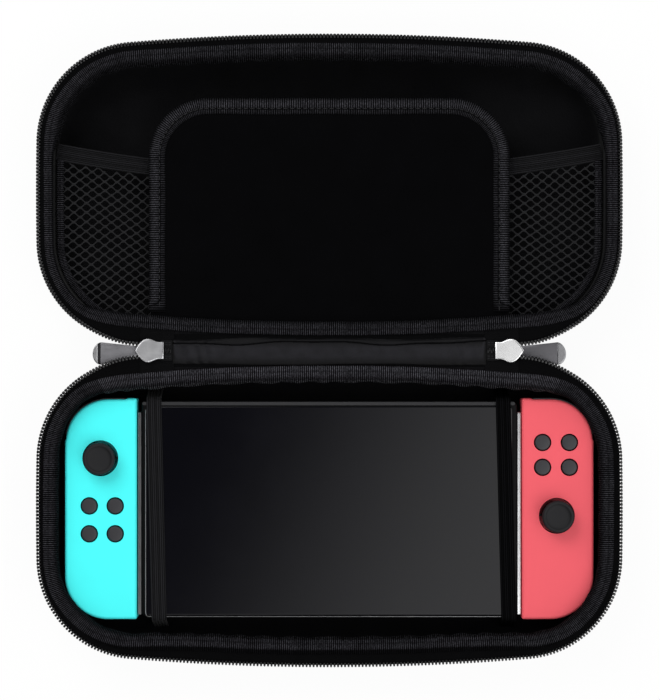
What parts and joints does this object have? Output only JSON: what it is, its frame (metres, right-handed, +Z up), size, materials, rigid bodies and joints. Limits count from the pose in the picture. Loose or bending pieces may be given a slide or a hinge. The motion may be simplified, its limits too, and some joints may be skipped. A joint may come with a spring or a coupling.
{
  "type": "portable game console case",
  "caption": "Zip-round hard carry case lying open, with a padded divider and net pocket in the lid and a handheld console with clip-on controllers strapped in the tray.",
  "frame": {"origin": "on the floor under the middle of the spine, with the case open and flat", "axes": "+X along the spine, +Y towards the lid, +Z up"},
  "size_m": [0.266, 0.2872, 0.0258],
  "materials": {
    "shell_cloth": "matt moulded cloth",
    "binding_tape": "ribbed woven tape",
    "zip_tape": "woven tape",
    "zip_teeth": "satin",
    "spine_leather": "soft satin",
    "slider_metal": "satin",
    "net_cloth": "open net",
    "elastic_cloth": "ribbed elastic",
    "velvet_cloth": "short pile",
    "console_plastic": "matt",
    "screen_glass": "polished",
    "display_black": "dark panel",
    "rail_dark": "dark satin",
    "rail_bright": "satin",
    "cyan_plastic": "matt",
    "coral_plastic": "matt",
    "button_plastic": "satin",
    "stick_rubber": "matt",
    "inner_plastic": "moulded",
    "board_green": "lacquered board",
    "battery_wrap": "wrapped"
  },
  "bodies": {
    "base": {"base_shell": "shell_cloth", "base_binding": "binding_tape", "base_zip_tape": "zip_tape", "base_zip_coil": "zip_teeth", "hinge_strip": "spine_leather", "strap_left": "elastic_cloth", "strap_right": "elastic_cloth", "console_rear_cover": "console_plastic", "console_front_frame": "console_plastic", "screen_glass": "screen_glass", "display_panel": "display_black", "main_board": "board_green", "battery_pack": "battery_wrap", "cooling_fan": "inner_plastic", "rail_left": "rail_dark", "rail_right": "rail_bright", "left_front_shell": "cyan_plastic", "left_rear_shell": "cyan_plastic", "right_front_shell": "coral_plastic", "right_rear_shell": "coral_plastic"},
    "lid": {"lid_shell": "shell_cloth", "lid_binding": "binding_tape", "lid_zip_tape": "zip_tape", "lid_zip_coil": "zip_teeth", "mesh_pocket": "net_cloth", "mesh_hem": "elastic_cloth", "mesh_edging": "binding_tape", "flap_fold": "velvet_cloth"},
    "flap": {"flap_panel": "velvet_cloth", "flap_binding": "binding_tape"},
    "slider_left": {"slider_left": "slider_metal", "chain_end_left": "zip_teeth"},
    "tab_left": {"pull_tab_left": "slider_metal"},
    "slider_right": {"slider_right": "slider_metal", "chain_end_right": "zip_teeth"},
    "tab_right": {"pull_tab_right": "slider_metal"},
    "left_button_1": {"left_button_1": "button_plastic"},
    "left_button_2": {"left_button_2": "button_plastic"},
    "left_button_3": {"left_button_3": "button_plastic"},
    "left_button_4": {"left_button_4": "button_plastic"},
    "left_gimbal": {"left_stick_gimbal": "inner_plastic"},
    "left_stick": {"left_stick": "stick_rubber"},
    "left_shoulder": {"left_shoulder_button": "button_plastic"},
    "left_trigger": {"left_trigger": "button_plastic"},
    "right_button_1": {"right_button_1": "button_plastic"},
    "right_button_2": {"right_button_2": "button_plastic"},
    "right_button_3": {"right_button_3": "button_plastic"},
    "right_button_4": {"right_button_4": "button_plastic"},
    "right_gimbal": {"right_stick_gimbal": "inner_plastic"},
    "right_stick": {"right_stick": "stick_rubber"},
    "right_shoulder": {"right_shoulder_button": "button_plastic"},
    "right_trigger": {"right_trigger": "button_plastic"}
  },
  "joints": [
    {"name": "lid_hinge", "type": "hinge", "parent": "base", "child": "lid", "pos_m": [0, 0, 0.0252], "axis": [1, 0, 0], "range_deg": [0, 180], "deforming": ["hinge_strip"]},
    {"name": "flap_hinge", "type": "hinge", "parent": "lid", "child": "flap", "pos_m": [0, 0.012, 0.0247], "axis": [-1, 0, 0], "range_deg": [-180, 0], "deforming": ["flap_fold"]},
    {"name": "slider_left_turn", "type": "hinge", "parent": "base", "child": "slider_left", "pos_m": [-0.081, 0, 0.0252], "axis": [1, 0, 0], "range_deg": [0, 90]},
    {"name": "tab_left_swing", "type": "hinge", "parent": "slider_left", "child": "tab_left", "pos_m": [-0.0826, 0, 0.0195], "axis": [0, -1, 0], "range_deg": [0, 170]},
    {"name": "slider_right_turn", "type": "hinge", "parent": "base", "child": "slider_right", "pos_m": [0.081, 0, 0.0252], "axis": [1, 0, 0], "range_deg": [0, 90]},
    {"name": "tab_right_swing", "type": "hinge", "parent": "slider_right", "child": "tab_right", "pos_m": [0.0826, 0, 0.0195], "axis": [0, 1, 0], "range_deg": [0, 170]},
    {"name": "left_button_1_press", "type": "slide", "parent": "base", "child": "left_button_1", "axis": [0, 0, -1], "range_m": [0, 0.001], "stiffness_N_per_m": 300},
    {"name": "left_button_2_press", "type": "slide", "parent": "base", "child": "left_button_2", "axis": [0, 0, -1], "range_m": [0, 0.001], "stiffness_N_per_m": 300},
    {"name": "left_button_3_press", "type": "slide", "parent": "base", "child": "left_button_3", "axis": [0, 0, -1], "range_m": [0, 0.001], "stiffness_N_per_m": 300},
    {"name": "left_button_4_press", "type": "slide", "parent": "base", "child": "left_button_4", "axis": [0, 0, -1], "range_m": [0, 0.001], "stiffness_N_per_m": 300},
    {"name": "left_stick_tilt_y", "type": "hinge", "parent": "base", "child": "left_gimbal", "pos_m": [-0.1043, -0.0491, 0.012], "axis": [1, 0, 0], "range_deg": [-15, 15], "stiffness_Nm_per_rad": 0.02},
    {"name": "left_stick_tilt_x", "type": "hinge", "parent": "left_gimbal", "child": "left_stick", "pos_m": [-0.1043, -0.0491, 0.012], "axis": [0, 1, 0], "range_deg": [-15, 15], "stiffness_Nm_per_rad": 0.02},
    {"name": "left_shoulder_press", "type": "hinge", "parent": "base", "child": "left_shoulder", "pos_m": [-0.0935, -0.023, 0.0133], "axis": [0, 0, 1], "range_deg": [0, 3], "stiffness_Nm_per_rad": 0.4},
    {"name": "left_trigger_press", "type": "hinge", "parent": "base", "child": "left_trigger", "pos_m": [-0.0935, -0.023, 0.0073], "axis": [0, 0, 1], "range_deg": [0, 3], "stiffness_Nm_per_rad": 0.4},
    {"name": "right_button_1_press", "type": "slide", "parent": "base", "child": "right_button_1", "axis": [0, 0, -1], "range_m": [0, 0.001], "stiffness_N_per_m": 300},
    {"name": "right_button_2_press", "type": "slide", "parent": "base", "child": "right_button_2", "axis": [0, 0, -1], "range_m": [0, 0.001], "stiffness_N_per_m": 300},
    {"name": "right_button_3_press", "type": "slide", "parent": "base", "child": "right_button_3", "axis": [0, 0, -1], "range_m": [0, 0.001], "stiffness_N_per_m": 300},
    {"name": "right_button_4_press", "type": "slide", "parent": "base", "child": "right_button_4", "axis": [0, 0, -1], "range_m": [0, 0.001], "stiffness_N_per_m": 300},
    {"name": "right_stick_tilt_y", "type": "hinge", "parent": "base", "child": "right_gimbal", "pos_m": [0.1036, -0.0753, 0.012], "axis": [1, 0, 0], "range_deg": [-15, 15], "stiffness_Nm_per_rad": 0.02},
    {"name": "right_stick_tilt_x", "type": "hinge", "parent": "right_gimbal", "child": "right_stick", "pos_m": [0.1036, -0.0753, 0.012], "axis": [0, 1, 0], "range_deg": [-15, 15], "stiffness_Nm_per_rad": 0.02},
    {"name": "right_shoulder_press", "type": "hinge", "parent": "base", "child": "right_shoulder", "pos_m": [0.0935, -0.023, 0.0133], "axis": [0, 0, -1], "range_deg": [0, 3], "stiffness_Nm_per_rad": 0.4},
    {"name": "right_trigger_press", "type": "hinge", "parent": "base", "child": "right_trigger", "pos_m": [0.0935, -0.023, 0.0073], "axis": [0, 0, -1], "range_deg": [0, 3], "stiffness_Nm_per_rad": 0.4}
  ],
  "couplings": [
    {"joint": "slider_left_turn", "follows": "lid_hinge", "ratio": 0.5},
    {"joint": "slider_right_turn", "follows": "lid_hinge", "ratio": 0.5}
  ]
}
